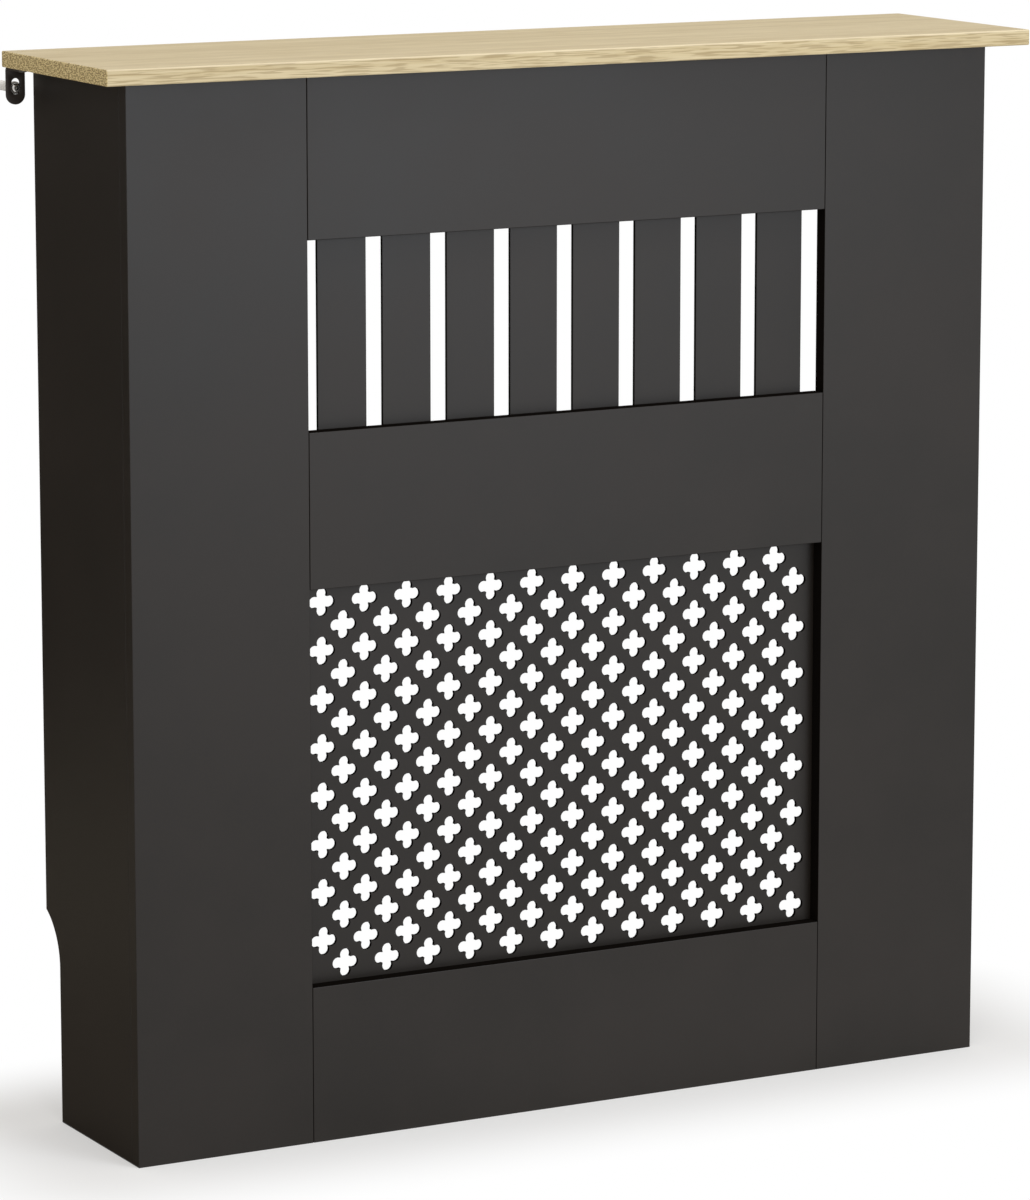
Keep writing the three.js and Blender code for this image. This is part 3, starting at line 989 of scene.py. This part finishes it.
@dataclass(frozen=True)
class BentAngle:
    """A bent steel angle. Its corner is at the origin, its legs run along Y and Z, and its width is centred on X."""

    width: float = 16 * MM
    legs: Pair = (25 * MM, 25 * MM)
    thickness: float = 2 * MM
    bend: float = 1.5 * MM
    end_radius: float = 3 * MM
    hole_at: Pair = (15 * MM, 15 * MM)
    holes: tuple[Pair, Pair] = ((4.1 * MM, 4.1 * MM), (4.1 * MM, 4.1 * MM))
    rim: float = 0.25 * MM
    rim_facets: int = 2
    bend_facets: int = 6
    end_facets: int = 10
    hole_facets: int = 14

    def shape(self) -> BMesh:
        """Makes the angle: two flat legs, and a bend swept from one to the other.

        Returns:
            The shape.
        """
        shape, other = self._leg(0), self._leg(1)
        bmesh.ops.transform(other, matrix=basis(X, Z, Y, Vector()), verts=other.verts)
        mesh = bpy.data.meshes.new("leg")
        other.to_mesh(mesh)
        other.free()
        shape.from_mesh(mesh)
        bpy.data.meshes.remove(mesh)
        turn = self.thickness + self.bend
        start = self._end_face(shape, lambda centre: centre.y < turn + WELD and centre.z < self.thickness)
        swept = bmesh.ops.spin(
            shape,
            geom=[start, *start.edges, *start.verts],
            cent=(0.0, turn, turn),
            axis=-X,
            angle=math.radians(90),
            steps=self.bend_facets,
        )
        bmesh.ops.delete(shape, geom=picked(swept["geom_last"], BMFace), context="FACES_ONLY")
        meeting = self._end_face(shape, lambda centre: centre.z < turn + WELD and centre.y < self.thickness)
        bmesh.ops.delete(shape, geom=[meeting], context="FACES_ONLY")
        weld(shape)
        round_edges(shape, self.rim, self.rim_facets)
        return shape

    @staticmethod
    def _end_face(shape: BMesh, is_end: Callable[[Vector], bool]) -> BMFace:
        """The four-sided face whose middle answers a test."""
        return next(face for face in shape.faces if len(face.verts) == 4 and is_end(face.calc_center_median()))

    def _leg(self, number: int) -> BMesh:
        """One leg, flat on the XY plane, from where the bend ends.

        Args:
            number: Which leg, 0 or 1.

        Returns:
            The leg, with its hole.
        """
        shape = bmesh.new()
        half, radius, length = self.width / 2, self.end_radius, self.legs[number]
        start = self.thickness + self.bend
        outline = Wire(shape, -half, start).run((half, start), (half, length - radius))
        outline.arc(half - radius, length - radius, 90.0, self.end_facets).run((radius - half, length))
        outline.arc(radius - half, length - radius, 90.0, self.end_facets).run((-half, start))
        hole_width, hole_length = self.holes[number]
        middle, round_end = self.hole_at[number], hole_width / 2
        straight = (hole_length - hole_width) / 2
        hole = Wire(shape, round_end, middle - straight).run((round_end, middle + straight))
        hole.arc(0.0, middle + straight, 180.0, self.hole_facets).run((-round_end, middle - straight))
        hole.arc(0.0, middle - straight, 180.0, self.hole_facets)
        return plate(shape, self.thickness)


@dataclass(frozen=True)
class WallPlug:
    """A ribbed wall plug with a collar. Its Z points out of the wall and its origin is in the middle of its mouth.

    The ribs start a tip's length from its inner end, and end a neck's length from its mouth.
    """

    length: float = 30 * MM
    bore: float = 2.55 * MM
    valley: float = 3.2 * MM
    ridge: float = 3.75 * MM
    ribs: int = 8
    rib_pitch: float = 3.3 * MM
    rib_slope: float = 2.4 * MM
    rib_top: float = 0.5 * MM
    tip: float = 0.6 * MM
    neck: float = 2.4 * MM
    collar: float = 4.75 * MM
    collar_length: float = 1.5 * MM
    chamfer: float = 0.3 * MM
    back_chamfer: Pair = (0.15 * MM, 0.2 * MM)
    facets: int = 32

    def shape(self) -> BMesh:
        """Makes the plug.

        Returns:
            The shape.
        """
        profile = [(self.bore, -self.length), (self.valley - self.chamfer, -self.length)]
        for rib in range(self.ribs):
            foot = self.tip - self.length + rib * self.rib_pitch
            top = foot + self.rib_slope
            profile += [(self.valley, foot), (self.ridge, top), (self.ridge, top + self.rib_top)]
        across, along = self.back_chamfer
        profile += [
            (self.valley, -self.neck),
            (self.valley, -self.collar_length),
            (self.collar - across, -self.collar_length),
            (self.collar, along - self.collar_length),
            (self.collar, -self.chamfer),
            (self.collar - self.chamfer, 0.0),
            (self.bore + self.chamfer, 0.0),
            (self.bore, -self.chamfer),
            (self.bore, -self.length),
        ]
        return lathe(profile, self.facets)


@dataclass
class BattenScrews(SubAssembly):
    """The four screws of each batten."""

    finish: Finish
    screw: PanScrew = PanScrew(length=20.5 * MM)
    per_batten: int = 4

    def pieces(self) -> Iterable[Piece]:
        """Makes the screws, their heads on the battens' backs.

        Returns:
            The pieces.
        """
        for level in ("lower", "middle", "upper"):
            for number in range(1, self.per_batten + 1):
                node = f"{level}_batten_screw_{number}"
                yield self.screw.driven(f"{level}_back_screw_{number}", node, Y, self.finish)


@dataclass
class CornerAngles(SubAssembly):
    """The small angles inside the cabinet, with their screws."""

    steel: Finish
    screws: Finish
    angle: BentAngle = BentAngle()
    screw: PanScrew = PanScrew()

    def pieces(self) -> Iterable[Piece]:
        """Makes three angles at each end, and two screws in each.

        Returns:
            The pieces.
        """
        for side in Side:
            for level, away in (("lower", Y), ("upper", Y), ("top", -Z)):
                name = f"{side.label}_{level}"
                low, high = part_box(f"{name}_angle")
                wall_x = low.x if side is Side.LEFT else high.x
                middle = (low + high) / 2
                corner = Vector((wall_x, low.y, middle.z) if away == Y else (wall_x, middle.y, high.z))
                place = basis(side.inward.cross(away), side.inward, away, corner)
                shape = self.angle.shape()
                yield Piece(f"{name}_bracket", f"{name}_angle", shape, self.steel, place, smooth=ROUND)
                for number, outward in enumerate((away, side.inward), 1):
                    node = f"{name}_angle_screw_{number}"
                    yield self.screw.driven(f"{name}_bracket_screw_{number}", node, outward, self.screws)


@dataclass
class WallFixings(SubAssembly):
    """The slotted angle under each end of the shelf, its two screws and its wall plug."""

    steel: Finish
    screws: Finish
    nylon: Finish
    angle: BentAngle = BentAngle(
        width=15 * MM,
        legs=(25 * MM, 28 * MM),
        bend=1 * MM,
        end_radius=7.5 * MM,
        hole_at=(15 * MM, 14.5 * MM),
        holes=((4.1 * MM, 4.1 * MM), (6.6 * MM, 12 * MM)),
    )
    board_screw: PanScrew = PanScrew(head_height=1.1 * MM)
    wall_screw: PanScrew = PanScrew(
        head_radius=3.75 * MM,
        head_height=2.5 * MM,
        shank_radius=2.25 * MM,
        length=30 * MM,
        point=4 * MM,
        pitch=1.8 * MM,
    )
    plug: WallPlug = WallPlug()

    def pieces(self) -> Iterable[Piece]:
        """Makes the fixings of both ends.

        Returns:
            The pieces.
        """
        for side in Side:
            end = side.label
            low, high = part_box(f"wall_angle_{end}")
            place = basis(X, -Y, -Z, Vector(((low.x + high.x) / 2, high.y, high.z)))
            shape = self.angle.shape()
            yield Piece(f"slotted_angle_{end}", f"wall_angle_{end}", shape, self.steel, place, smooth=ROUND)
            yield self.board_screw.driven(f"shelf_screw_{end}", f"board_screw_{end}", -Z, self.screws)
            yield self.wall_screw.driven(f"wall_fixing_screw_{end}", f"wall_screw_{end}", -Y, self.screws)
            node = f"wall_plug_{end}"
            low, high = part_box(node)
            place = facing(Vector(((low.x + high.x) / 2, low.y, (low.z + high.z) / 2)), -Y)
            yield Piece(f"plug_{end}", node, self.plug.shape(), self.nylon, place, smooth=ROUND)


# ---- Studio ----


@dataclass
class SoftLamp:
    """A soft box: a glowing rectangle that the camera doesn't see."""

    name: str
    place: Vector
    aim: Vector
    size: Pair
    watts: float
    tint: Colour = WHITE

    def switch_on(self) -> None:
        """Adds the lamp to the scene."""
        light = bpy.data.lights.new(self.name, "AREA")
        light.shape = "RECTANGLE"
        light.size, light.size_y = self.size
        light.energy = self.watts
        light.color = self.tint[:3]
        lamp = linked(self.name, light)
        lamp.visible_camera = False
        lamp.matrix_world = facing(self.place, self.place - self.aim)


def stage_sheet(name: str, shape: BMesh) -> tuple[Object, Wiring]:
    """Makes a part of the studio that isn't part of the cabinet.

    Args:
        name: Its name.
        shape: Its shape.

    Returns:
        The object and the nodes of its material.
    """
    mesh = bpy.data.meshes.new(name)
    shape.to_mesh(mesh)
    shape.free()
    material = bpy.data.materials.new(name)
    material.use_nodes = True
    mesh.materials.append(material)
    made = linked(name, mesh)
    return made, Wiring(material.node_tree)


@dataclass
class ShadeCard:
    """A grey card behind the left end, first along the floor and then upright, that only a gloss sees.

    It keeps the white background out of the left side panel's gloss. Its grey changes from one to the next between the
    two heights of a fade.
    """

    right: float = 0.8
    width: float = 3.4
    front: float = -0.086
    back: float = 0.45
    lift: float = 0.001
    height: float = 0.86
    floor_grey: Colour = (0.27, 0.24, 0.2, 1.0)
    low_grey: Colour = (0.42, 0.38, 0.31, 1.0)
    high_grey: Colour = (0.17, 0.15, 0.13, 1.0)
    low_fade: Pair = (0.002, 0.02)
    high_fade: Pair = (0.08, 0.3)

    def build(self) -> None:
        """Folds the card and stands it in its place."""
        shape = bmesh.new()
        bmesh.ops.create_grid(shape, x_segments=1, y_segments=1, size=0.5)
        middle = (self.front + self.back) / 2
        place = Matrix.Translation((self.right - self.width / 2, middle, self.lift))
        size = Matrix.Diagonal((self.width, self.back - self.front, 1.0, 1.0))
        bmesh.ops.transform(shape, matrix=place @ size, verts=shape.verts)
        far = [edge for edge in shape.edges if all(vert.co.y > middle for vert in edge.verts)]
        raised = bmesh.ops.extrude_edge_only(shape, edges=far)["geom"]
        bmesh.ops.translate(shape, verts=picked(raised, BMVert), vec=Z * self.height)
        card, wiring = stage_sheet("shade_card", shape)
        card.visible_camera = card.visible_diffuse = card.visible_shadow = False
        height = wiring.axes[2]
        upright = wiring.between(height.rise(*self.high_fade), self.low_grey, self.high_grey)
        grey = wiring.between(height.rise(*self.low_fade), self.floor_grey, upright)
        paint = wiring.node("BsdfDiffuse", None, {"Color": grey})
        wiring.node("OutputMaterial", None, {"Surface": paint.outputs[0]})


@dataclass
class Studio:
    """The camera, the pale floor, the white background, the shade card and the lamps."""

    camera_place: Vector = Vector((-1.9697, -3.6650, 1.1453))
    yaw: float = 28.219
    pitch: float = 10.392
    lens: float = 164.34
    ambient: Colour = (0.57, 0.54, 0.50, 1.0)
    floor_half: float = 8.0
    floor_grey: Colour = (0.9, 0.9, 0.9, 1.0)
    shadow_reach: float = 0.16
    veil: float = 0.4
    # The first lamp is broad and stands at the front right, so that its sheen lies on the upper front.
    lamps: tuple[SoftLamp, ...] = (
        SoftLamp(
            "sheen_panel",
            place=Vector((0.92, -2.5, 0.88)),
            aim=Vector((0.0, -0.1, 0.56)),
            size=(1.1, 1.0),
            watts=23.5,
            tint=(0.84, 0.91, 1.0, 1.0),
        ),
        SoftLamp(
            "high_lamp",
            place=Vector((-0.05, -0.95, 2.6)),
            aim=Vector((0.0, 0.0, 0.7)),
            size=(1.2, 0.9),
            watts=17.0,
        ),
    )

    def build(self) -> None:
        """Sets up everything that isn't the cabinet."""
        self._camera()
        self._world()
        self._floor()
        ShadeCard().build()
        for lamp in self.lamps:
            lamp.switch_on()

    def _camera(self) -> None:
        """Sets the camera at the photograph's viewing angle."""
        data = bpy.data.cameras.new("camera")
        data.lens = self.lens
        data.clip_end = 100.0
        camera = linked("camera", data)
        yaw, pitch = math.radians(self.yaw), math.radians(self.pitch)
        ahead = Vector((math.sin(yaw) * math.cos(pitch), math.cos(yaw) * math.cos(pitch), -math.sin(pitch)))
        camera.matrix_world = facing(self.camera_place, ahead, "-Z")
        bpy.context.scene.camera = camera

    def _world(self) -> None:
        """Makes a white background that lights the cabinet softly from all round."""
        world = bpy.data.worlds.new("studio")
        bpy.context.scene.world = world
        world.use_nodes = True
        wiring = Wiring(world.node_tree)
        light, white = (
            wiring.node("Background", None, {"Color": colour, "Strength": 1.0}).outputs[0]
            for colour in (self.ambient, WHITE)
        )
        wiring.node("OutputWorld", None, {"Surface": wiring.blend(wiring.seen, light, white)})

    def _floor(self) -> None:
        """Lays a pale floor that shows the cabinet's shadow through a white veil, which hides all further away."""
        low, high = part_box("top_board")
        shape = bmesh.new()
        bmesh.ops.create_grid(shape, x_segments=1, y_segments=1, size=self.floor_half)
        _, wiring = stage_sheet("floor", shape)
        across, along, _ = wiring.axes
        beside = (abs(across) - high.x).greatest(0.0)
        before = (abs(along) - high.y).greatest(0.0)
        away = (beside * beside + before * before).power(0.5).rise(0.0, self.shadow_reach)
        white_share = wiring.seen * (self.veil + away * (1.0 - self.veil))
        bare = wiring.node("BsdfDiffuse", None, {"Color": self.floor_grey}).outputs[0]
        white = wiring.node("Emission", None, {"Strength": 1.0}).outputs[0]
        wiring.node("OutputMaterial", None, {"Surface": wiring.blend(white_share, bare, white)})


def cabinet() -> Sequence[SubAssembly]:
    """Chooses the finishes and shares them out.

    Returns:
        The groups of pieces.
    """
    sheet_low, sheet_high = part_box("grille_sheet")
    rail_low, rail_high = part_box("middle_rail")
    satin = {"roughness": 0.42, "gloss": 0.28}
    # The sheet's hole walls and the slats' edges get painted shade.
    hardboard = EdgeShadedBoard(Slot.BLACK_HARDBOARD, **satin, faces=(sheet_low.y, sheet_high.y))
    # The painted shade goes on the edges that show: those of the rails and of the stiles beside them, just past the
    # rails' ends.
    board = EdgeShadedBoard(
        Slot.BLACK_BOARD,
        **satin,
        # A nearly black colour for the painted shade on the edges.
        cut=srgb(20, 17, 15),
        faces=(rail_low.y, rail_high.y),
        half_width=rail_high.x + 0.8 * MM,
        blend=(0.0, 0.25 * MM),
    )
    plated = BareMetal(Slot.PLATED_STEEL, roughness=0.35)
    plated_screw = BareMetal(Slot.PLATED_SCREW, roughness=0.3)
    black_steel = CoatedBoard(
        Slot.BLACK_STEEL, roughness=0.4, gloss=0.4, colour=srgb(50, 44, 41), cloudy=srgb(57, 51, 47)
    )
    black_screw = BareMetal(
        Slot.BLACK_SCREW, roughness=0.12, colour=srgb(214, 212, 208), cloudy=srgb(176, 174, 170)
    )
    nylon = MouldedNylon(Slot.PALE_NYLON, roughness=0.4)
    return (
        Shelf(),
        Carcass(board),
        VentSlats(hardboard),
        PiercedSheet(hardboard),
        BattenScrews(plated_screw),
        CornerAngles(plated, plated_screw),
        WallFixings(black_steel, black_screw, nylon),
    )


def main() -> None:
    """Builds the studio and the cabinet."""
    logging.basicConfig(level=logging.INFO, format="%(message)s")
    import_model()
    bpy.context.scene.view_settings.view_transform = "Standard"
    Studio().build()
    for group in cabinet():
        group.build()


if __name__ == "__main__":
    main()
